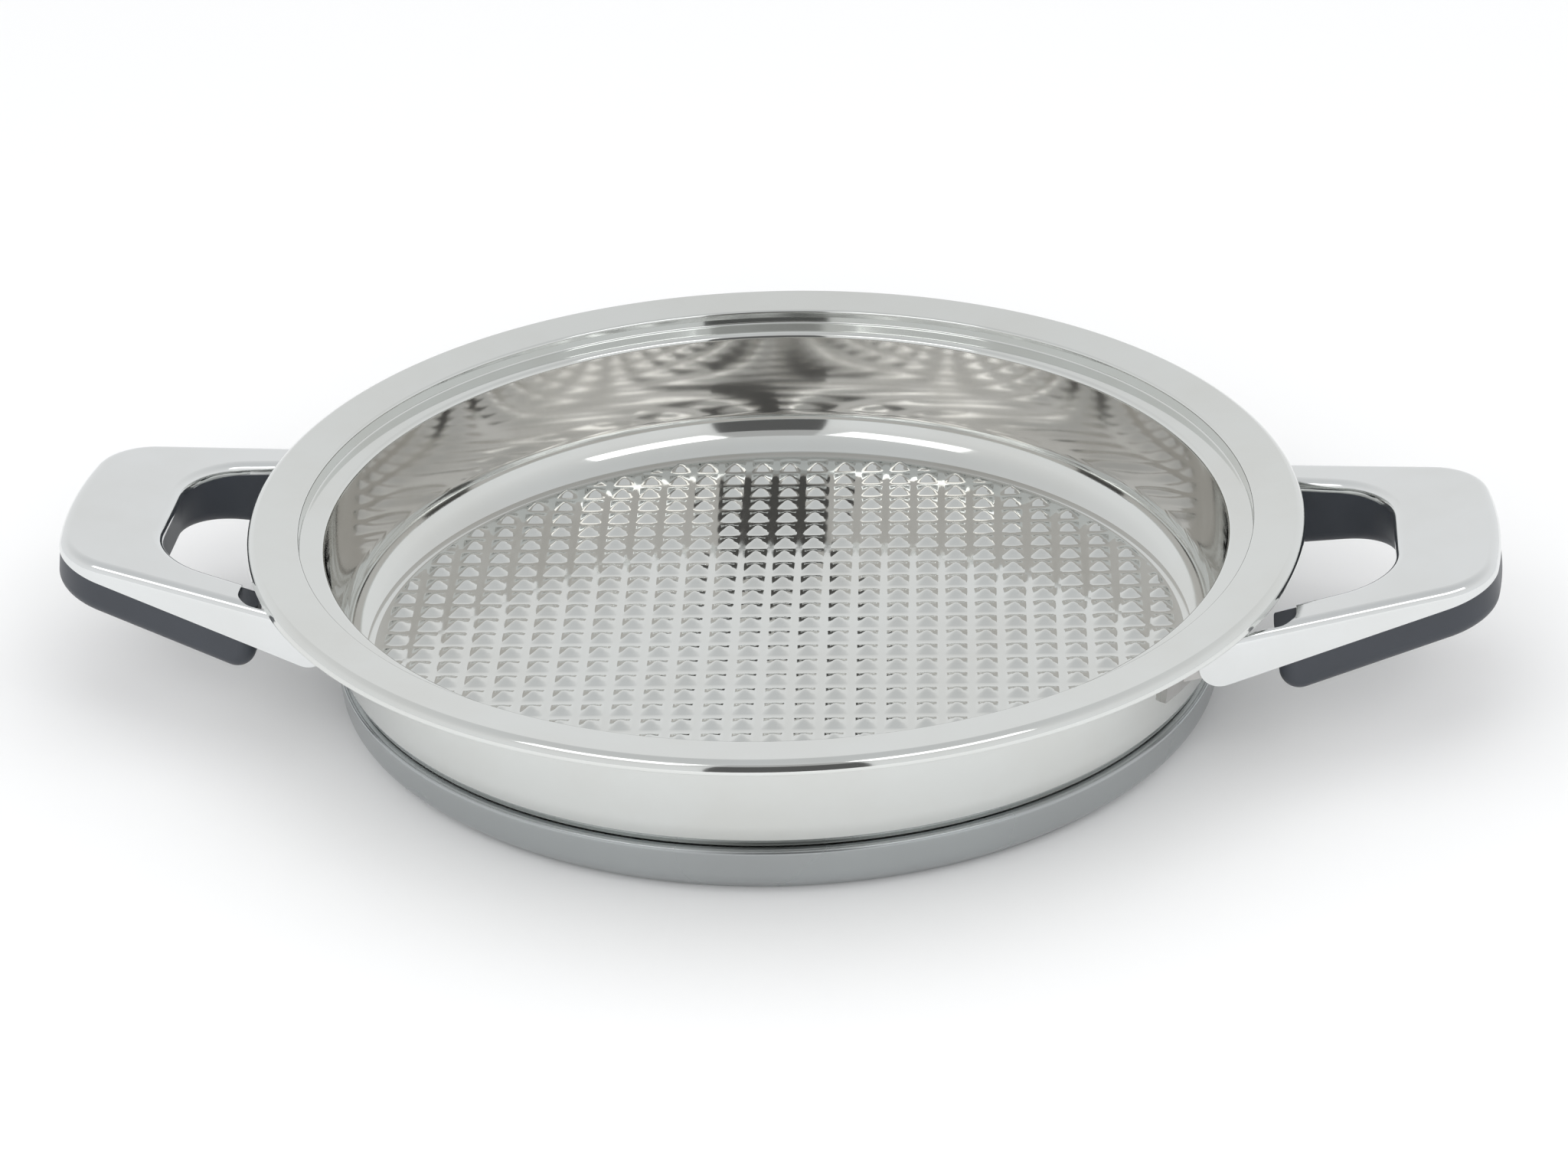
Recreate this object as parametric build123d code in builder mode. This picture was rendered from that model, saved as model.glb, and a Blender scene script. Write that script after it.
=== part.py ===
from build123d import *
import math
import os

# Low steel cooking pan with two loop handles, millimetres.
# +Z up, origin at the centre of the underside of the base, handles along +X and -X.

# ---- overall sizes -------------------------------------------------------------------------
pan_height = 52.0            # underside of the base to the outer edge of the rim
rim_radius = 140.0           # outer edge of the flat of the rim
sheet = 1.0                  # steel sheet the bowl is drawn from

# ---- rim, rolled lip and lid seat ----------------------------------------------------------
rim_flat = 11.6              # width of the flat of the rim
rim_fall = 1.4               # the flat falls this much towards the inside
lip_out = 2.4                # how far the rolled lip stands outside the flat
lip_drop = 3.4               # depth of the rolled lip
lip_bow = (1.9, 0.9)         # the lip bows out through this far out and down from its crease
lip_bow_round = 3.0
seat_depth = 3.8             # lid seat below the inner edge of the rim
seat_width = 6.5             # ledge the lid sits on
seat_fall = 0.8              # the ledge falls this much towards the inside
lip_round = 0.6              # crease between the flat of the rim and the lip
rim_round = 0.7              # inner edge of the rim
seat_round = 0.5             # corner at the back of the ledge
ledge_round = 1.3            # inner edge of the ledge

# ---- wall and floor ------------------------------------------------------------------------
floor_height = 11.0          # cooking floor above the underside
wall_lean = 2.4              # the wall comes in by this much from the seat down to the bend
bend_radius = 11.9           # wide bend between wall and floor
bend_rise = 3.7              # the wall and the foot of the bend would meet this far above the floor
bend_reach = 6.5             # and the bend ends in a crease this far inside that corner
bend_skin = (0.7, 0.5)       # the outside of the bend, lower and wider by these shares of the sheet
crease_skin = (0.4, 0.9)     # the outside of the crease, further out and lower by these shares
bow_skin = (0.85, 0.7)       # the underside of the bowed lip, further in and lower
rim_skin = 0.2               # the underside of the crease of the lip, further in
ring_width = 2.8             # smooth margin between the crease and the embossed disc
ring_rise = 0.8              # the margin climbs this much from the disc to the crease
ring_blend = 4.0             # soft edge of the disc

# ---- encapsulated base ---------------------------------------------------------------------
seam_rise = 3.2              # top edge of the base cap above the cooking floor
cap_sheet = 0.8
cap_out = 0.2                # how far the side of the cap stands outside the corner of the bend
foot_inset = 6.6             # the flat the pan stands on ends this far inside the side
cap_side_height = 5.0        # the side of the cap turns under below this height
cap_side_in = 0.9            # and stands this much further in there
cap_round = 4.0
cap_edge = 1.0               # rounded top edge of the cap
core_gap = 0.4               # the core ends this far below the turned edge of the cap

# ---- handles, measured in the tilted plane of their top faces ------------------------------
handle_tilt = 7.4            # the handles rise towards their outer ends, degrees
handle_root_in = 12.0        # the tilted plane is set out from this far inside the rim
handle_root_drop = 10.6      # top face of the handle below the rim at that place
handle_reach = 66.0          # from there to the outer end
root_half = 50.6             # half width over the two arms at the root
outer_half = 34.7            # half width near the outer end
outer_bulge = 4.2            # the outer end bows out by this much
outer_corner = 19.0
gap_reach = 38.0             # finger gap, from the root to its outer end
gap_root_half = 39.0
gap_outer_half = 26.5
gap_corner = 22.0
cover_sheet = 1.2            # pressed steel of the handle cover
edge_round = 2.8             # rounded top edges of the cover
gap_lip = 3.0                # the cover turns down into the finger gap by this much
skirt_root = 12.4            # side skirt of the cover, depth at the root
skirt_outer = 3.242          # and at the outer end, as it gets shallower all the way
arm_inner = 14.5             # the skirts of the cover end this far inside the root
arm_round = 6.0
notch_start = 11.5           # the top face of each arm is cut back to here
notch_round = 6.0
grip_drop = 9.6              # black grip below the skirt
grip_inset = 0.25            # the grip stands this much inside the skirt
grip_round = 3.6             # rounded lower edges of the grip
grip_nose = 5.5
grip_start = 5.5             # the grip begins this far out from the root

# ---- brackets and screws -------------------------------------------------------------------
pad_sheet = 1.6              # pad welded to the wall
pad_spread = 12.0            # degrees round the wall
pad_gap = 3.4                # top of the pad below the root of the handle
pad_tall = 11.5
lug_drop = 4.0               # top of the lug below the top face of the handle
lug_depth = 6.5
lug_width = 6.0
tongue_side = 1.6            # plastic between the tongue and the skirt
tongue_width = 5.4
tongue_sheet = 3.0
tongue_reach = 14.0          # the tongue runs this far into the grip
screw_place = 7.5            # screw centre from the start of the grip
screw_radius = 1.8
screw_head_radius = 3.0
screw_head_height = 2.2
screw_well = 5.0             # the head sits this deep in the grip
hex_across = 3.0
hex_depth = 1.2

# ---- derived levels ------------------------------------------------------------------------
rim_inner = rim_radius - rim_flat
rim_inner_z = pan_height - rim_fall
seat_z = rim_inner_z - seat_depth
ledge_z = seat_z - seat_fall
wall_top = rim_inner - seat_width
wall_foot = wall_top - wall_lean
bend_z = floor_height + bend_rise
crease_radius = wall_foot - bend_reach
crease_z = floor_height + ring_rise
disc_radius = crease_radius - ring_width
lip_radius = rim_radius + lip_out
lip_z = pan_height - lip_drop
under_floor = floor_height - sheet
wall_top_outer = wall_top + sheet
wall_foot_outer = wall_foot + sheet
bend_outer_z = bend_z - bend_skin[0] * sheet
seam_height = floor_height + seam_rise
cap_radius = wall_foot_outer + cap_out
cap_side = cap_radius - cap_side_in
cap_foot = cap_radius - foot_inset
root_z = pan_height - handle_root_drop
pad_high = root_z - pad_gap
pad_low = pad_high - pad_tall

os.makedirs("parts", exist_ok=True)

# ---- pan shell: one deep-drawn sheet with a rolled lip and a lid seat ------------------------
# Its floor is at the level of the channels between the embossed pyramids, which are surface relief.
bowl_inside = [
    (0, floor_height),
    (disc_radius, floor_height),
    (crease_radius, crease_z),
    (wall_foot, bend_z),
    (wall_top, ledge_z),
    (rim_inner, seat_z),
    (rim_inner, rim_inner_z),
    (rim_radius, pan_height),
    (rim_radius + lip_bow[0], pan_height - lip_bow[1]),
    (lip_radius, lip_z),
]
bowl_outside = [
    (lip_radius - sheet, lip_z),
    (rim_radius + lip_bow[0] - bow_skin[0] * sheet, pan_height - lip_bow[1] - bow_skin[1] * sheet),
    (rim_radius - rim_skin * sheet, pan_height - sheet),
    (rim_inner + sheet, rim_inner_z - sheet),
    (rim_inner + sheet, seat_z - sheet),
    (wall_top_outer, ledge_z - sheet),
    (wall_foot_outer, bend_outer_z),
    (crease_radius + crease_skin[0] * sheet, crease_z - crease_skin[1] * sheet),
    (disc_radius, under_floor),
    (0, under_floor),
]
bend_outer_radius = bend_radius + bend_skin[1] * sheet
bow_inner_round = lip_bow_round - sheet
inside_rounds = [ring_blend, 0, bend_radius, ledge_round, seat_round, rim_round, lip_round, lip_bow_round, 0]
outside_rounds = [0, bow_inner_round, 0, seat_round, rim_round, ledge_round, bend_outer_radius, 0, ring_blend]

with BuildPart() as pan_shell:
    with BuildSketch(Plane.XZ):
        with BuildLine():
            skin = FilletPolyline(*bowl_inside, *bowl_outside, radius=inside_rounds + outside_rounds)
            Line(skin @ 1, skin @ 0)
        make_face()
    revolve(axis=Axis.Z)
pan_shell.part.label = "pan_shell"
export_step(pan_shell.part, "parts/pan_shell.step")

# ---- base: aluminium core closed in by a pressed steel cap ------------------------------------
# The space the bowl takes up, which both pieces are shaped against.
with BuildPart() as bowl_space:
    with BuildSketch(Plane.XZ):
        with BuildLine():
            under_skin = FilletPolyline(
                (0, ledge_z - sheet), *bowl_outside[5:], radius=[0, *outside_rounds[6:]],
            )
            Line(under_skin @ 1, under_skin @ 0)
        make_face()
    revolve(axis=Axis.Z)

with BuildPart() as base_cap:
    with BuildSketch(Plane.XZ):
        with BuildLine():
            cap_skin = FilletPolyline(
                (0, 0), (cap_foot, 0), (cap_side, cap_side_height), (cap_radius, seam_height),
                (disc_radius, seam_height), (disc_radius, seam_height - cap_sheet),
                (cap_radius - cap_sheet, seam_height - cap_sheet),
                (cap_side - cap_sheet, cap_side_height + cap_sheet / 2),
                (cap_foot - cap_sheet / 2, cap_sheet), (0, cap_sheet),
                radius=[cap_round, cap_round, cap_edge, 0, 0, 0, cap_round, cap_round],
            )
            Line(cap_skin @ 1, cap_skin @ 0)
        make_face()
    revolve(axis=Axis.Z)
    add(bowl_space.part, mode=Mode.SUBTRACT)
base_cap.part.label = "base_cap"
export_step(base_cap.part, "parts/base_cap.step")

with BuildPart() as base_core:
    with BuildSketch(Plane.XZ):
        with BuildLine():
            core_skin = FilletPolyline(
                (0, cap_sheet), (cap_foot - cap_sheet / 2, cap_sheet),
                (cap_side - cap_sheet, cap_side_height + cap_sheet / 2),
                (cap_side - cap_sheet, seam_height - cap_sheet - core_gap),
                (0, seam_height - cap_sheet - core_gap),
                radius=[cap_round, cap_round, 0],
            )
            Line(core_skin @ 1, core_skin @ 0)
        make_face()
    revolve(axis=Axis.Z)
    add(bowl_space.part, mode=Mode.SUBTRACT)
base_core.part.label = "base_core"
export_step(base_core.part, "parts/base_core.step")

# ---- handle outlines, drawn flat in the tilted plane --------------------------------------------
cos_tilt = math.cos(math.radians(handle_tilt))
sin_tilt = math.sin(math.radians(handle_tilt))
skirt_fall = (skirt_root - skirt_outer) / handle_reach
skirt_slope = math.degrees(math.atan(skirt_fall))
root = (rim_radius - handle_root_in, 0, root_z)
top_plane = Plane(origin=root, x_dir=(cos_tilt, 0, sin_tilt), z_dir=(-sin_tilt, 0, cos_tilt))
side_plane = Plane(origin=root, x_dir=(cos_tilt, 0, sin_tilt), z_dir=(0, -1, 0))
corner_x = handle_reach - outer_bulge
outer_spread = (root_half - outer_half) / corner_x
gap_spread = (gap_root_half - gap_outer_half) / gap_reach
inward = 2 * arm_inner       # outlines are drawn past the wall and cut back later
across = 3 * root_half
deep = skirt_root + grip_drop + inward
beyond = 1.5 * handle_reach

with BuildSketch() as outer_outline:
    with BuildLine():
        ThreePointArc((corner_x, -outer_half), (handle_reach, 0), (corner_x, outer_half))
        Polyline(
            (corner_x, outer_half),
            (-inward, root_half + inward * outer_spread),
            (-inward, -root_half - inward * outer_spread),
            (corner_x, -outer_half),
        )
    make_face()
    fillet(outer_outline.vertices().sort_by(Axis.X)[-2:], radius=outer_corner)

with BuildSketch() as gap_outline:
    with BuildLine():
        FilletPolyline(
            (-inward, gap_root_half + inward * gap_spread),
            (gap_reach, gap_outer_half),
            (gap_reach, -gap_outer_half),
            (-inward, -gap_root_half - inward * gap_spread),
            radius=[gap_corner, gap_corner], close=False,
        )
        Line((-inward, -gap_root_half - inward * gap_spread), (-inward, gap_root_half + inward * gap_spread))
    make_face()

with BuildSketch() as inner_outline:
    add(outer_outline.sketch)
    offset(amount=-cover_sheet, mode=Mode.REPLACE)

with BuildSketch() as wide_gap:
    add(gap_outline.sketch)
    offset(amount=cover_sheet, mode=Mode.REPLACE)

with BuildSketch() as lug_outline:
    with Locations((grip_start, 0)):
        Rectangle(inward + grip_start, across, align=(Align.MAX, Align.MAX))
    add(inner_outline.sketch, mode=Mode.INTERSECT)
    add(offset(inner_outline.sketch, amount=-lug_width, mode=Mode.PRIVATE), mode=Mode.SUBTRACT)

with BuildSketch() as tongue_outline:
    with Locations((grip_start, 0)):
        Rectangle(tongue_reach, across, align=(Align.MIN, Align.MAX))
    add(offset(inner_outline.sketch, amount=-tongue_side, mode=Mode.PRIVATE), mode=Mode.INTERSECT)
    add(offset(inner_outline.sketch, amount=-tongue_side - tongue_width, mode=Mode.PRIVATE), mode=Mode.SUBTRACT)

with BuildSketch() as grip_outline:
    add(outer_outline.sketch)
    offset(amount=-grip_inset, mode=Mode.REPLACE)

# ---- handle cover: pressed and polished steel, deep skirts outside, turned edge in the gap ------
with BuildPart() as right_cover:
    with BuildSketch(top_plane):
        add(outer_outline.sketch)
        add(gap_outline.sketch, mode=Mode.SUBTRACT)
    extrude(amount=-deep)
    top_edges = [
        edge for edge in right_cover.edges()
        if abs(top_plane.to_local_coords(edge.center()).Z) < 0.01
        and top_plane.to_local_coords(edge.center()).X > 1 - inward
    ]
    fillet(top_edges, radius=edge_round)
    with BuildSketch(side_plane) as cover_side:
        tip = (-arm_inner, -skirt_root - arm_inner * skirt_fall)
        with BuildLine():
            Polyline(
                (-arm_inner, edge_round), (beyond, edge_round),
                (beyond, -skirt_root + beyond * skirt_fall), tip, close=True,
            )
        make_face()
        fillet(cover_side.vertices().sort_by_distance(tip)[0], radius=arm_round)
    extrude(amount=across, both=True, mode=Mode.INTERSECT)
    with BuildSketch(top_plane.offset(-cover_sheet)):
        add(inner_outline.sketch)
        add(wide_gap.sketch, mode=Mode.SUBTRACT)
    extrude(amount=cover_sheet - gap_lip, mode=Mode.SUBTRACT)
    with BuildSketch(top_plane.offset(-gap_lip)):
        add(inner_outline.sketch)
    extrude(amount=-deep, mode=Mode.SUBTRACT)
    with BuildSketch(top_plane) as notch:
        with Locations((notch_start, 0)):
            Rectangle(inward + notch_start, across, align=(Align.MAX, Align.CENTER))
        add(inner_outline.sketch, mode=Mode.INTERSECT)
        fillet(notch.vertices().sort_by(Axis.X)[-2:], radius=notch_round)
    extrude(amount=-gap_lip, mode=Mode.SUBTRACT)
right_cover.part.label = "right_cover"
export_step(right_cover.part, "parts/right_cover.step")

# ---- grip: black moulded plastic filling the cover and standing out below it ---------------------
tongue_drop = lug_drop + (lug_depth - tongue_sheet) / 2
screw_x = grip_start + screw_place
screw_y = root_half - screw_x * outer_spread - cover_sheet - tongue_side - tongue_width / 2
screw_places = [(screw_x, -screw_y), (screw_x, screw_y)]
head_drop = skirt_root + grip_drop - screw_x * skirt_fall - screw_well
skirt_plane = top_plane.offset(-skirt_root).rotated((0, -skirt_slope, 0))

with BuildPart() as right_grip:
    with BuildSketch(top_plane):
        add(grip_outline.sketch)
        add(gap_outline.sketch, mode=Mode.SUBTRACT)
    extrude(amount=-2 * deep)
    split(bisect_by=skirt_plane, keep=Keep.BOTTOM)
    with BuildSketch(top_plane.offset(-gap_lip)):
        add(inner_outline.sketch)
        add(gap_outline.sketch, mode=Mode.SUBTRACT)
    extrude(amount=-deep)
    with BuildSketch(top_plane.offset(-cover_sheet)):
        add(inner_outline.sketch)
        add(wide_gap.sketch, mode=Mode.SUBTRACT)
    extrude(amount=-gap_lip)
    with BuildSketch(side_plane) as grip_side:
        nose = (grip_start, -skirt_root - grip_drop + grip_start * skirt_fall)
        with BuildLine():
            Polyline(
                (grip_start, edge_round), (beyond, edge_round),
                (beyond, -skirt_root - grip_drop + beyond * skirt_fall), nose, close=True,
            )
        make_face()
        fillet(grip_side.vertices().sort_by_distance(nose)[0], radius=grip_nose)
    extrude(amount=across, both=True, mode=Mode.INTERSECT)
    grip_floor = skirt_plane.offset(-grip_drop)
    floor_edges = [
        edge for edge in right_grip.edges()
        if abs(grip_floor.to_local_coords(edge.center()).Z) < 0.35
        and top_plane.to_local_coords(edge.center()).X > grip_start + grip_nose
    ]
    fillet(floor_edges, radius=grip_round)
    with BuildSketch(top_plane.offset(-tongue_drop)):
        add(tongue_outline.sketch)
        mirror(about=Plane.XZ)
    extrude(amount=-tongue_sheet, mode=Mode.SUBTRACT)
    with BuildSketch(top_plane.offset(-tongue_drop)):
        with Locations(*screw_places):
            Circle(screw_radius)
    extrude(amount=-deep, mode=Mode.SUBTRACT)
    with BuildSketch(top_plane.offset(-head_drop)):
        with Locations(*screw_places):
            Circle(screw_head_radius)
    extrude(amount=-deep, mode=Mode.SUBTRACT)
right_grip.part.label = "right_grip"
export_step(right_grip.part, "parts/right_grip.step")

# ---- brackets: a pad welded to the wall, a lug beside the skirt and a tongue into the grip -----------
wall_slope = (wall_top_outer - wall_foot_outer) / (ledge_z - sheet - bend_outer_z)


def wall_at(z):
    """Outer radius of the bowl wall at height z."""
    return wall_foot_outer + (z - bend_outer_z) * wall_slope


lug_y = root_half + arm_inner * outer_spread - cover_sheet - lug_width / 2
pad_turn = math.degrees(math.asin(lug_y / wall_at(pad_low)))

with BuildPart() as right_bracket_front:
    with BuildSketch(Plane.XZ.rotated((0, 0, -pad_turn - pad_spread / 2))):
        with BuildLine():
            Polyline(
                (wall_at(pad_low), pad_low), (wall_at(pad_high), pad_high),
                (wall_at(pad_high) + pad_sheet, pad_high), (wall_at(pad_low) + pad_sheet, pad_low),
                close=True,
            )
        make_face()
    revolve(axis=Axis.Z, revolution_arc=pad_spread)
    with BuildSketch(top_plane.offset(-lug_drop)):
        add(lug_outline.sketch)
    extrude(amount=-lug_depth)
    with BuildSketch(top_plane.offset(-tongue_drop)):
        add(tongue_outline.sketch)
    extrude(amount=-tongue_sheet)
    with BuildSketch(Plane.XZ):
        with BuildLine():
            Polyline(
                (0, 0), (wall_at(0), 0), (wall_at(pan_height), pan_height), (0, pan_height), close=True,
            )
        make_face()
    revolve(axis=Axis.Z, mode=Mode.SUBTRACT)
    with BuildSketch(top_plane):
        with Locations(screw_places[0]):
            Circle(screw_radius)
    extrude(amount=-deep, mode=Mode.SUBTRACT)
right_bracket_front.part.label = "right_bracket_front"
export_step(right_bracket_front.part, "parts/right_bracket_front.step")

with BuildPart() as right_bracket_back:
    add(right_bracket_front.part.mirror(Plane.XZ))
right_bracket_back.part.label = "right_bracket_back"
export_step(right_bracket_back.part, "parts/right_bracket_back.step")

# ---- screws: one under each arm, up through the grip into the tongue --------------------------------
with BuildPart() as right_screws:
    with BuildSketch(top_plane.offset(-tongue_drop)):
        with Locations(*screw_places):
            Circle(screw_radius)
    extrude(amount=tongue_drop - head_drop)
    with BuildSketch(top_plane.offset(-head_drop)):
        with Locations(*screw_places):
            Circle(screw_head_radius)
    extrude(amount=-screw_head_height)
    with BuildSketch(top_plane.offset(-head_drop - screw_head_height)):
        with Locations(*screw_places):
            RegularPolygon(hex_across / 2, 6, major_radius=False)
    extrude(amount=hex_depth, mode=Mode.SUBTRACT)
right_screws.part.label = "right_screws"
export_step(right_screws.part, "parts/right_screws.step")

# ---- left handle: the same pieces turned to the other side ------------------------------------------
with BuildPart() as left_cover:
    add(right_cover.part.mirror(Plane.YZ))
left_cover.part.label = "left_cover"
export_step(left_cover.part, "parts/left_cover.step")

with BuildPart() as left_grip:
    add(right_grip.part.mirror(Plane.YZ))
left_grip.part.label = "left_grip"
export_step(left_grip.part, "parts/left_grip.step")

with BuildPart() as left_bracket_front:
    add(right_bracket_front.part.mirror(Plane.YZ))
left_bracket_front.part.label = "left_bracket_front"
export_step(left_bracket_front.part, "parts/left_bracket_front.step")

with BuildPart() as left_bracket_back:
    add(right_bracket_back.part.mirror(Plane.YZ))
left_bracket_back.part.label = "left_bracket_back"
export_step(left_bracket_back.part, "parts/left_bracket_back.step")

with BuildPart() as left_screws:
    add(right_screws.part.mirror(Plane.YZ))
left_screws.part.label = "left_screws"
export_step(left_screws.part, "parts/left_screws.step")
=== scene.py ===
"""Low stainless steel cooking pan with an embossed floor and two loop handles, built round its CAD frame.

All lengths are metres in the CAD frame: +Z up, origin under the centre of the base, handles along +X and -X.
"""
import math

import bpy
import numpy as np
from mathutils import Matrix, Vector


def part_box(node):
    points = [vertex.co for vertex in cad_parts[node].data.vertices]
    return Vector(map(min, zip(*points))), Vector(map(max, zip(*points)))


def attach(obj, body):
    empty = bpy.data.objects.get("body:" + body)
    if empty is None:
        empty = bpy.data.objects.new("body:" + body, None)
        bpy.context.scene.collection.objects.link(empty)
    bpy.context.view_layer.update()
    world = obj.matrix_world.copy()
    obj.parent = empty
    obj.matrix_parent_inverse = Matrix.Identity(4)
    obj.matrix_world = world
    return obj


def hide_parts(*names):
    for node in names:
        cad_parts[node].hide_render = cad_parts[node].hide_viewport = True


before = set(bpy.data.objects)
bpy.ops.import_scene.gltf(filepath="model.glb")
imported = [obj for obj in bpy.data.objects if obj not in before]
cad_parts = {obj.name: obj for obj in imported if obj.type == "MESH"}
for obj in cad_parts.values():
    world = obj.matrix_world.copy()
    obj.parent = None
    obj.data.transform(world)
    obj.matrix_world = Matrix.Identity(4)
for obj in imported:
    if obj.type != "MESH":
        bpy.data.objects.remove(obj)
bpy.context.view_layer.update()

# ---- Bowl ------------------------------------------------------------------------------------------
# One sheet of stainless steel, deep drawn, with a flat rim, a stepped seat for a lid and a lip rolled
# outwards. It is spun and buffed to a mirror, and its floor is pressed into rows of small pyramids.

shell_low, shell_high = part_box("pan_shell")
sheet = 0.001
lip_radius = shell_high.x
rim_height = shell_high.z
under_floor = shell_low.z
rim_edge = lip_radius - 0.0024      # crease between the flat of the rim and the lip
rim_inner = rim_edge - 0.0116
rim_fall = 0.0014                   # the flat falls this much towards the inside
lip_drop = 0.0034
seat_height = rim_height - rim_fall - 0.0038
ledge_height = seat_height - 0.0008  # the ledge falls towards the inside
wall_top = rim_inner - 0.0065
wall_foot = wall_top - 0.0024
floor_height = under_floor + sheet
bend_height = floor_height + 0.0037
bend_radius = 0.0119                # wide bend between wall and floor, ending in a crease
crease_radius = wall_foot - 0.0065
crease_height = floor_height + 0.0008
disc_radius = crease_radius - 0.0028  # the embossed disc, inside a smooth margin

pyramid_pitch = 0.0081
pyramid_half = 0.00315
pyramid_height = 0.0019
pyramid_tip = 0.0008                # softness of the pyramid's top
pyramid_turn = math.radians(3.4)
row_shift = -0.0013                 # the rows aren't centred on the pan
pyramid_lines = [0, 0.0007, 0.0016, 0.0029, 0.0032, pyramid_pitch / 2]
SPOKES = 288


def rounded(corners):
    """Outline through (radius, height, corner radius) points, with each corner turned into an arc."""
    outline = []
    for i, (r, z, bend) in enumerate(corners):
        here = Vector((r, z))
        if bend == 0 or i in (0, len(corners) - 1):
            outline.append(here)
            continue
        before = Vector(corners[i - 1][:2]) - here
        after = Vector(corners[i + 1][:2]) - here
        back, ahead = before.normalized(), after.normalized()
        half_angle = back.angle(ahead) / 2
        reach = bend / math.tan(half_angle)
        hold = reach + 0.0002               # keeps the straight beside the arc straight
        centre = here + (back + ahead).normalized() * bend / math.sin(half_angle)
        start = here + back * reach - centre
        end = here + ahead * reach - centre
        if hold < before.length:
            outline.append(here + back * hold)
        steps = max(4, round(bend / 0.0008))
        for k in range(steps + 1):
            outline.append(centre + start.slerp(end, k / steps).normalized() * bend)
        if hold < after.length:
            outline.append(here + ahead * hold)
    return outline


def spin_rings(points, faces, outline):
    """Spins an outline that runs outwards over the top and back underneath, and closes it on the axis."""
    rings = []
    for r, z in outline:
        first = len(points)
        for k in range(SPOKES):
            turn = 2 * math.pi * k / SPOKES - math.pi
            points.append((r * math.cos(turn), r * math.sin(turn), z))
        rings.append(list(range(first, first + SPOKES)))
    for low, high in zip(rings, rings[1:]):
        for k in range(SPOKES):
            after = (k + 1) % SPOKES
            faces.append((low[k], high[k], high[after], low[after]))
    faces.append(tuple(reversed(rings[-1])))
    return rings


def pyramid_rise(u, v):
    """Height of the embossing above its channels, at a place measured from the pyramid's middle."""
    away = (abs(u) ** 6 + abs(v) ** 6) ** (1 / 6)
    slope = math.hypot(away, pyramid_tip)
    return max(0.0, pyramid_height * (1 - slope / pyramid_half))


def embossed_disc(points, faces):
    """Square grid over the disc, cut off in a circle. Returns its edge points, in order round the disc."""
    count = math.ceil(disc_radius / pyramid_pitch) + 1
    columns = []
    for k in range(-count, count + 1):
        for off in pyramid_lines:
            columns.append((k * pyramid_pitch + off, off))
            if off not in (0, pyramid_lines[-1]):
                columns.append((k * pyramid_pitch - off, -off))
    columns.sort()
    rows = [(y + row_shift, v) for y, v in columns]
    cos_turn, sin_turn = math.cos(pyramid_turn), math.sin(pyramid_turn)
    index = {}

    def point(i, j):
        if (i, j) not in index:
            (x, u), (y, v) = columns[i], rows[j]
            r = math.hypot(x, y)
            shrink = min(1, disc_radius / r) if r else 1
            rise = pyramid_rise(u, v) * min(1, max(0, disc_radius - r) / 0.0004)
            x, y = x * shrink, y * shrink
            index[(i, j)] = len(points)
            points.append((x * cos_turn - y * sin_turn, x * sin_turn + y * cos_turn, floor_height + rise))
        return index[(i, j)]

    inside = [[math.hypot(x, y) < disc_radius for y, v in rows] for x, u in columns]
    edge_use = {}
    for i in range(len(columns) - 1):
        for j in range(len(rows) - 1):
            if not (inside[i][j] or inside[i + 1][j] or inside[i + 1][j + 1] or inside[i][j + 1]):
                continue
            quad = [point(i, j), point(i + 1, j), point(i + 1, j + 1), point(i, j + 1)]
            for a, b in zip(quad, quad[1:] + quad[:1]):
                key = (min(a, b), max(a, b))
                edge_use[key] = edge_use.get(key, 0) + 1
            mid_u = columns[i][1] + columns[i + 1][1]
            mid_v = rows[j][1] + rows[j + 1][1]
            if abs(abs(mid_u) - abs(mid_v)) > 1e-6:
                faces.append(tuple(quad))
            elif mid_u * mid_v > 0:
                faces.append((quad[0], quad[1], quad[2]))
                faces.append((quad[0], quad[2], quad[3]))
            else:
                faces.append((quad[0], quad[1], quad[3]))
                faces.append((quad[1], quad[2], quad[3]))
    edge = {p for pair, uses in edge_use.items() if uses == 1 for p in pair}
    return sorted(edge, key=lambda p: math.atan2(points[p][1], points[p][0]))


def stitch(points, faces, inner, outer):
    """Triangles between two rings with different numbers of points, both in order from -180 degrees."""
    def turn(ring, k):
        x, y, z = points[ring[k % len(ring)]]
        return math.atan2(y, x) + 2 * math.pi * (k // len(ring))

    i = j = 0
    while i < len(inner) or j < len(outer):
        a, b = inner[i % len(inner)], outer[j % len(outer)]
        if j >= len(outer) or (i < len(inner) and turn(inner, i + 1) <= turn(outer, j + 1)):
            i += 1
            faces.append((a, b, inner[i % len(inner)]))
        else:
            j += 1
            faces.append((a, b, outer[j % len(outer)]))


def new_piece(name, points, faces, material):
    """A smooth mesh object that rides on the one body."""
    mesh = bpy.data.meshes.new(name)
    mesh.from_pydata([tuple(p) for p in points], [], faces)
    mesh.materials.append(material)
    mesh.shade_smooth()
    mesh.validate()
    piece = bpy.data.objects.new(name, mesh)
    bpy.context.scene.collection.objects.link(piece)
    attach(piece, "root")
    return piece


def add_node(nodes, kind, **settings):
    """A shader node with its sockets and properties set by name."""
    node = nodes.new(kind)
    for key, value in settings.items():
        socket = key.replace("_", " ").title()
        if socket in node.inputs:
            node.inputs[socket].default_value = value
        else:
            setattr(node, key, value)
    return node


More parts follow.
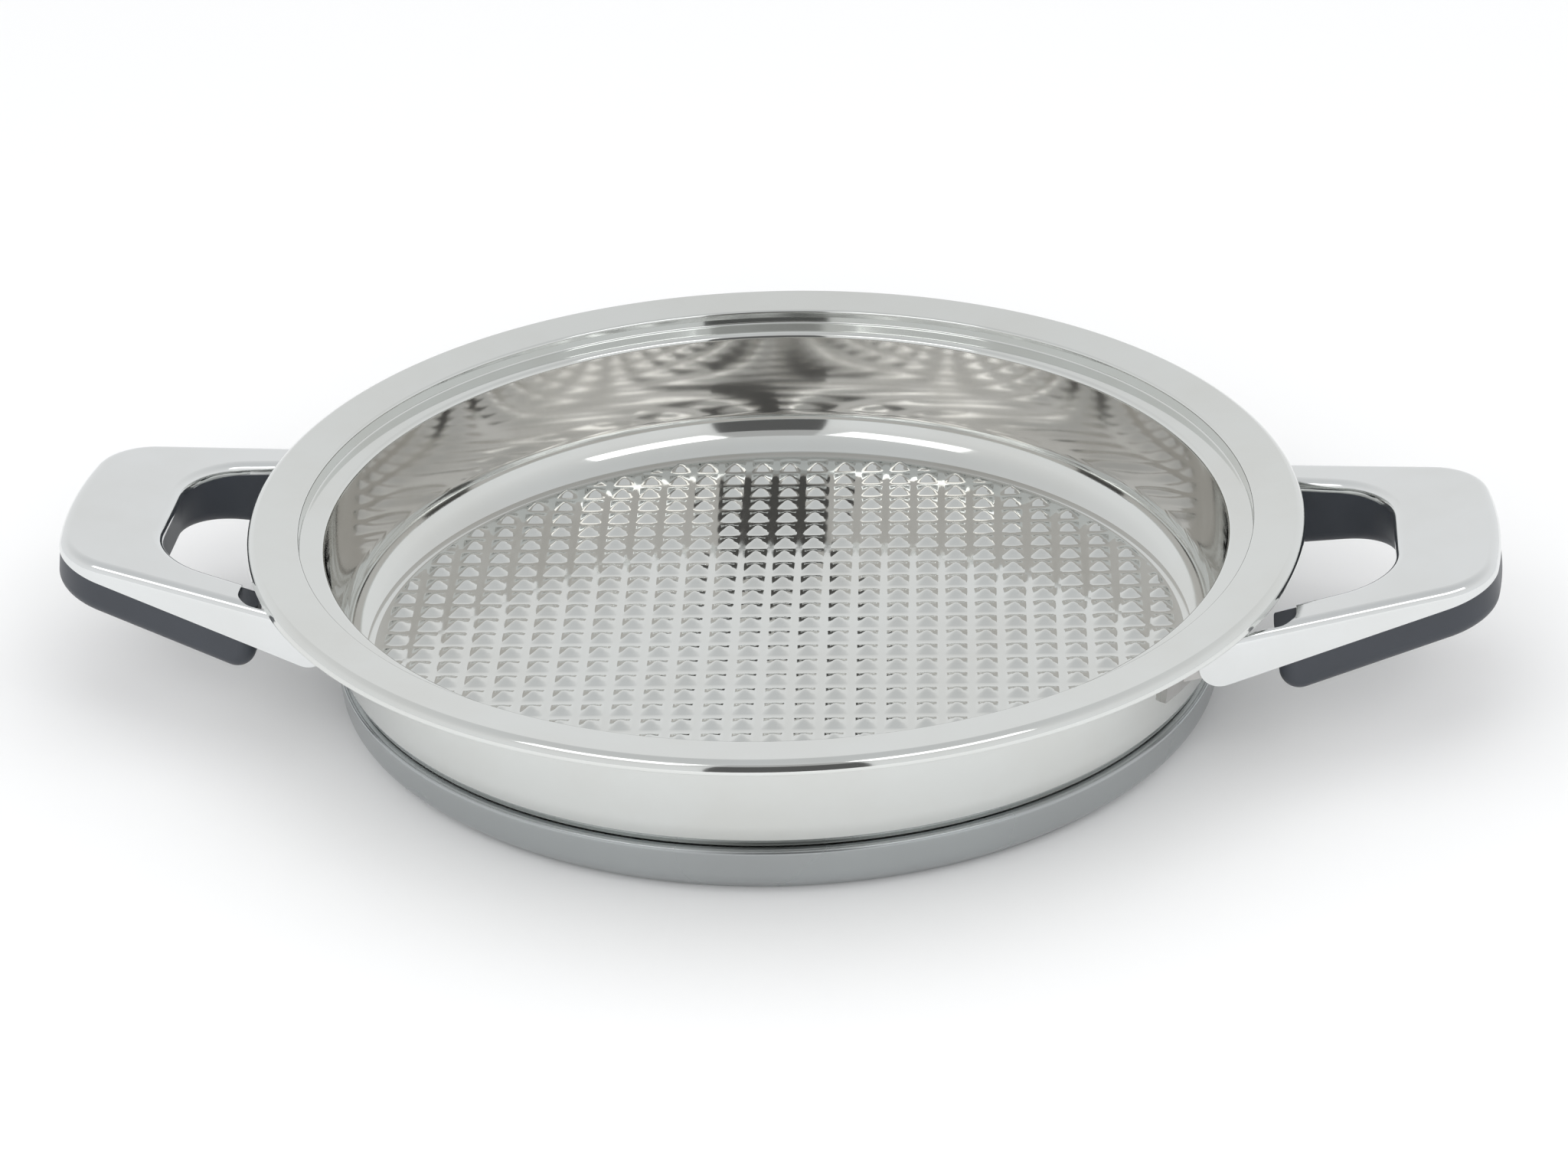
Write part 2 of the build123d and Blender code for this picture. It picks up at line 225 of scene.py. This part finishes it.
def buffed_steel(name, colour, stain, smooth, rough, lines, line_depth, haze_detail=5.0):
    """Steel with a few hazy marks and very fine polishing lines that follow the given direction."""
    material = bpy.data.materials.new(name)
    material.use_nodes = True
    nodes, links = material.node_tree.nodes, material.node_tree.links
    steel = nodes["Principled BSDF"]
    steel.inputs["Metallic"].default_value = 1.0
    place = nodes.new("ShaderNodeTexCoord")
    haze = add_node(nodes, "ShaderNodeTexNoise", scale=28.0, detail=haze_detail, roughness=0.62)
    links.new(place.outputs["Object"], haze.inputs["Vector"])
    rough_range = add_node(nodes, "ShaderNodeMapRange")
    rough_range.inputs["From Min"].default_value = 0.35
    rough_range.inputs["From Max"].default_value = 0.75
    rough_range.inputs["To Min"].default_value = smooth
    rough_range.inputs["To Max"].default_value = rough
    links.new(haze.outputs["Fac"], rough_range.inputs["Value"])
    links.new(rough_range.outputs["Result"], steel.inputs["Roughness"])
    tint = nodes.new("ShaderNodeValToRGB")
    tint.color_ramp.elements[0].position = 0.4
    tint.color_ramp.elements[0].color = (*colour, 1)
    tint.color_ramp.elements[1].position = 0.85
    tint.color_ramp.elements[1].color = (*stain, 1)
    links.new(haze.outputs["Fac"], tint.inputs["Fac"])
    links.new(tint.outputs["Color"], steel.inputs["Base Color"])
    stretch = nodes.new("ShaderNodeMapping")
    stretch.inputs["Scale"].default_value = lines
    links.new(place.outputs["Object"], stretch.inputs["Vector"])
    scratches = add_node(nodes, "ShaderNodeTexNoise", scale=1.0, detail=3.0, roughness=0.7)
    links.new(stretch.outputs["Vector"], scratches.inputs["Vector"])
    bump = nodes.new("ShaderNodeBump")
    bump.inputs["Strength"].default_value = 1.0
    bump.inputs["Distance"].default_value = line_depth
    links.new(scratches.outputs["Fac"], bump.inputs["Height"])
    links.new(bump.outputs["Normal"], steel.inputs["Normal"])
    return material


steel_colour = (0.715, 0.73, 0.715)
steel_stain = (0.68, 0.685, 0.66)
wall_colour = (0.62, 0.602, 0.575)      # the inside of the wall is a little browner
wall_stain = (0.52, 0.50, 0.465)
bowl_steel = buffed_steel("buffed_bowl_steel", steel_colour, steel_stain, 0.05, 0.10, (60, 60, 900), 1e-7)
wall_steel = buffed_steel("buffed_wall_steel", wall_colour, wall_stain, 0.045, 0.10, (55, 55, 500), 6e-7)

bowl_points, bowl_faces = [], []
disc_edge = embossed_disc(bowl_points, bowl_faces)
margin = rounded([
    (disc_radius + 0.0003, floor_height, 0),
    (disc_radius + 0.0008, floor_height, 0.0012),
    (crease_radius - 0.0001, crease_height, 0),
])
wall = rounded([
    (crease_radius, crease_height, 0),
    (wall_foot, bend_height, bend_radius),
    (wall_top, ledge_height, 0.0013),
    (rim_inner, seat_height, 0.0005),
    (rim_inner, rim_height - rim_fall, 0.0007),
    (rim_edge, rim_height, 0.0006),
    (rim_edge + 0.0019, rim_height - 0.0009, 0.003),
    (lip_radius, rim_height - lip_drop, 0.0003),
    (lip_radius - sheet, rim_height - lip_drop, 0.0003),
    (rim_edge + 0.00105, rim_height - 0.0016, 0.002),
    (rim_edge - 0.2 * sheet, rim_height - sheet, 0.0004),
    (rim_inner + sheet, rim_height - rim_fall - sheet, 0.0005),
    (rim_inner + sheet, seat_height - sheet, 0.0007),
    (wall_top + sheet, ledge_height - sheet, 0.0013),
    (wall_foot + sheet, bend_height - 0.7 * sheet, bend_radius + 0.5 * sheet),
    (crease_radius + 0.4 * sheet, crease_height - 0.9 * sheet, 0),
    (disc_radius, under_floor, 0.004),
    (0.02, under_floor, 0),
])
bowl_rings = spin_rings(bowl_points, bowl_faces, margin + wall)
stitch(bowl_points, bowl_faces, disc_edge, bowl_rings[0])
bowl = new_piece("bowl", bowl_points, bowl_faces, bowl_steel)
bowl.data.materials.append(wall_steel)
wall_start = bend_height + 0.0065
for face in bowl.data.polygons:
    middle = face.center
    inward = face.normal.xy.dot(middle.xy) < 0
    if inward and middle.xy.length < wall_top and wall_start < middle.z < ledge_height - 0.001:
        face.material_index = 1
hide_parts("pan_shell")

# ---- Base ------------------------------------------------------------------------------------------
# A pressed stainless cap closes an aluminium core in under the floor. It is brushed satin, and its top
# edge is pressed tight against the wall, where a thin dark seam shows all the way round.

# The cap's satin finish is real, but its dark blue-grey colour is painted reflection of a grey-blue table and
# painted shade.
base_steel = buffed_steel(
    "satin_base_steel_painted_shade", (0.42, 0.44, 0.445), (0.40, 0.415, 0.42), 0.25, 0.29, (20, 20, 300), 4e-7, haze_detail=0.0,
)
seam_height = floor_height + 0.0032
seam_gap = 0.00015                  # dark groove between the wall and the turned edge of the cap
cap_sheet = 0.0008
cap_radius = wall_foot + sheet + 0.0002
cap_side = cap_radius - 0.0009
cap_side_height = 0.005
cap_foot = cap_radius - 0.0066
for above, below in zip(wall, wall[1:]):
    if above.y >= seam_height > below.y:
        seam_side = above.lerp(below, (above.y - seam_height) / (above.y - below.y)).x
cap_outline = rounded([
    (0.02, cap_sheet, 0),
    (cap_foot - cap_sheet / 2, cap_sheet, 0.004),
    (cap_side - cap_sheet, cap_side_height + cap_sheet / 2, 0.004),
    (cap_radius - cap_sheet, seam_height - cap_sheet, 0.0003),
    (seam_side + seam_gap, seam_height - cap_sheet, 0),
    (seam_side + seam_gap, seam_height, 0.0002),
    (cap_radius, seam_height, 0.001),
    (cap_side, cap_side_height, 0.004),
    (cap_foot, 0, 0.004),
    (0.02, 0, 0),
])
cap_points, cap_faces = [], []
cap_rings = spin_rings(cap_points, cap_faces, cap_outline)
cap_faces.append(tuple(cap_rings[0]))
cap = new_piece("base_shell", cap_points, cap_faces, base_steel)
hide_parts("base_cap")
core_metal = buffed_steel("core_aluminium", (0.74, 0.74, 0.75), (0.68, 0.68, 0.70), 0.35, 0.5, (300, 300, 300), 4e-6)


def finish_node(name, material):
    """Gives a CAD node its material in every slot."""
    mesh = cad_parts[name].data
    for k in range(max(1, len(mesh.materials))):
        if k < len(mesh.materials):
            mesh.materials[k] = material
        else:
            mesh.materials.append(material)


finish_node("base_core", core_metal)

# ---- Handles ---------------------------------------------------------------------------------------
# Each loop handle is a pressed and polished steel cover over a black moulded grip, on two steel
# brackets welded to the wall and held by a socket screw under each arm.

cover_steel = buffed_steel("buffed_cover_steel", (0.76, 0.775, 0.775), (0.72, 0.73, 0.72), 0.07, 0.15, (500, 60, 500), 3e-7)
bracket_steel = buffed_steel("plain_bracket_steel", (0.55, 0.55, 0.54), (0.42, 0.40, 0.38), 0.25, 0.4, (300, 300, 900), 6e-6)


def moulded_plastic(name, colour, rough):
    """Black plastic with a fine moulded grain and slightly glossier worn patches."""
    material = bpy.data.materials.new(name)
    material.use_nodes = True
    nodes, links = material.node_tree.nodes, material.node_tree.links
    plastic = nodes["Principled BSDF"]
    place = nodes.new("ShaderNodeTexCoord")
    wear = add_node(nodes, "ShaderNodeTexNoise", scale=60.0, detail=4.0)
    links.new(place.outputs["Object"], wear.inputs["Vector"])
    rough_range = add_node(nodes, "ShaderNodeMapRange")
    rough_range.inputs["To Min"].default_value = rough - 0.06
    rough_range.inputs["To Max"].default_value = rough + 0.08
    links.new(wear.outputs["Fac"], rough_range.inputs["Value"])
    links.new(rough_range.outputs["Result"], plastic.inputs["Roughness"])
    tint = nodes.new("ShaderNodeValToRGB")
    tint.color_ramp.elements[0].color = (*colour, 1)
    tint.color_ramp.elements[1].color = (*[c * 1.5 for c in colour], 1)
    links.new(wear.outputs["Fac"], tint.inputs["Fac"])
    links.new(tint.outputs["Color"], plastic.inputs["Base Color"])
    grain = add_node(nodes, "ShaderNodeTexNoise", scale=1800.0, detail=2.0)
    links.new(place.outputs["Object"], grain.inputs["Vector"])
    bump = nodes.new("ShaderNodeBump")
    bump.inputs["Strength"].default_value = 0.6
    bump.inputs["Distance"].default_value = 3e-5
    links.new(grain.outputs["Fac"], bump.inputs["Height"])
    links.new(bump.outputs["Normal"], plastic.inputs["Normal"])
    return material


grip_plastic = moulded_plastic("moulded_grip_plastic", (0.030, 0.034, 0.042), 0.42)
for side in ("right", "left"):
    finish_node(f"{side}_cover", cover_steel)
    finish_node(f"{side}_grip", grip_plastic)
    finish_node(f"{side}_screws", bracket_steel)
    for end in ("front", "back"):
        finish_node(f"{side}_bracket_{end}", bracket_steel)

# ---- Studio ----------------------------------------------------------------------------------------
# A plain pale table under a soft bright dome, with a large overhead softbox. A dark flag stands
# behind the camera, and shows only in the polished steel.

table_mesh = bpy.data.meshes.new("table")
table_mesh.from_pydata([(-6, -6, 0), (6, -6, 0), (6, 6, 0), (-6, 6, 0)], [], [(0, 1, 2, 3)])
table = bpy.data.objects.new("table", table_mesh)
bpy.context.scene.collection.objects.link(table)
table.location.z = -0.0001
table_white = bpy.data.materials.new("table_white")
table_white.use_nodes = True
table_white.node_tree.nodes["Principled BSDF"].inputs["Base Color"].default_value = (0.93, 0.93, 0.93, 1)
table_white.node_tree.nodes["Principled BSDF"].inputs["Roughness"].default_value = 0.9
table_white.node_tree.nodes["Principled BSDF"].inputs["Specular IOR Level"].default_value = 0.1
table_mesh.materials.append(table_white)

view_turn = math.radians(5.942)
view_down = math.radians(27.638)
view_roll = math.radians(-1.683)
camera_place = Vector((0.1104, -1.0443, 0.5751))

flag_left, flag_right = -0.21, 0.56
flag_levels = (0.02, 1.18, 2.1)         # black below, grey above
flag_mesh = bpy.data.meshes.new("flag")
flag_mesh.from_pydata(
    [(x, -1.35, z) for z in flag_levels for x in (flag_left, flag_right)], [], [(0, 1, 3, 2), (2, 3, 5, 4)],
)
flag = bpy.data.objects.new("flag", flag_mesh)
bpy.context.scene.collection.objects.link(flag)
for k, (name, shade) in enumerate((("flag_black", 0.09), ("flag_grey", 0.46))):
    card = bpy.data.materials.new(name)
    card.use_nodes = True
    card.node_tree.nodes["Principled BSDF"].inputs["Base Color"].default_value = (0, 0, 0, 1)
    card.node_tree.nodes["Principled BSDF"].inputs["Emission Color"].default_value = (shade, shade, shade, 1)
    card.node_tree.nodes["Principled BSDF"].inputs["Emission Strength"].default_value = 1.0
    flag_mesh.materials.append(card)
    flag_mesh.polygons[k].material_index = k
flag.visible_camera = False
flag.visible_diffuse = False
flag.visible_shadow = False

world = bpy.data.worlds.new("dome")
bpy.context.scene.world = world
world.use_nodes = True
dome_nodes, dome_links = world.node_tree.nodes, world.node_tree.links
direction = dome_nodes.new("ShaderNodeTexCoord")
split = dome_nodes.new("ShaderNodeSeparateXYZ")
dome_links.new(direction.outputs["Generated"], split.inputs["Vector"])
dome = dome_nodes.new("ShaderNodeValToRGB")
dome.color_ramp.elements[0].position = 0.0
dome.color_ramp.elements[0].color = (0.91, 0.92, 0.93, 1)
dome.color_ramp.elements[1].position = 1.0
dome.color_ramp.elements[1].color = (0.67, 0.68, 0.69, 1)
for height, light in ((0.454, 0.88), (0.656, 0.80)):
    dome.color_ramp.elements.new(height).color = (light, light * 1.005, light * 1.01, 1)
dome_links.new(split.outputs["Z"], dome.inputs["Fac"])
dome_links.new(dome.outputs["Color"], dome_nodes["Background"].inputs["Color"])
dome_nodes["Background"].inputs["Strength"].default_value = 1.0


def softbox(name, place, target, size, power):
    """A large square area light pointed at a place."""
    light = bpy.data.lights.new(name, "AREA")
    light.shape = "RECTANGLE"
    light.size, light.size_y = size
    light.energy = power
    lamp = bpy.data.objects.new(name, light)
    bpy.context.scene.collection.objects.link(lamp)
    lamp.location = place
    lamp.rotation_euler = (Vector(target) - Vector(place)).to_track_quat("-Z", "Y").to_euler()
    lamp.visible_camera = False
    return lamp


softbox("overhead", (0.0, 0.3, 2.2), (0, 0, 0), (2.6, 2.2), 9).visible_glossy = False
softbox("front_fill", (0.1, -2.2, 1.3), (0, -0.2, 0), (2.6, 1.2), 18).visible_glossy = False
softbox("left_box", (-1.15, -1.5, 2.2), (0, 0, 0), (1.5, 0.75), 5.5)
softbox("right_box", (1.35, -1.3, 2.2), (0, 0, 0), (1.5, 0.75), 5.5)

camera_data = bpy.data.cameras.new("camera")
camera_data.sensor_width = 36
camera_data.lens = 99.83
camera_data.clip_start = 0.01
camera = bpy.data.objects.new("camera", camera_data)
bpy.context.scene.collection.objects.link(camera)
aim = Matrix.Rotation(view_turn, 3, "Z")
aim = aim @ Matrix.Rotation(math.pi / 2 - view_down, 3, "X")
aim = aim @ Matrix.Rotation(view_roll, 3, "Z")
camera.matrix_world = Matrix.Translation(camera_place) @ aim.to_4x4()
bpy.context.scene.camera = camera
bpy.context.scene.view_settings.view_transform = "Standard"
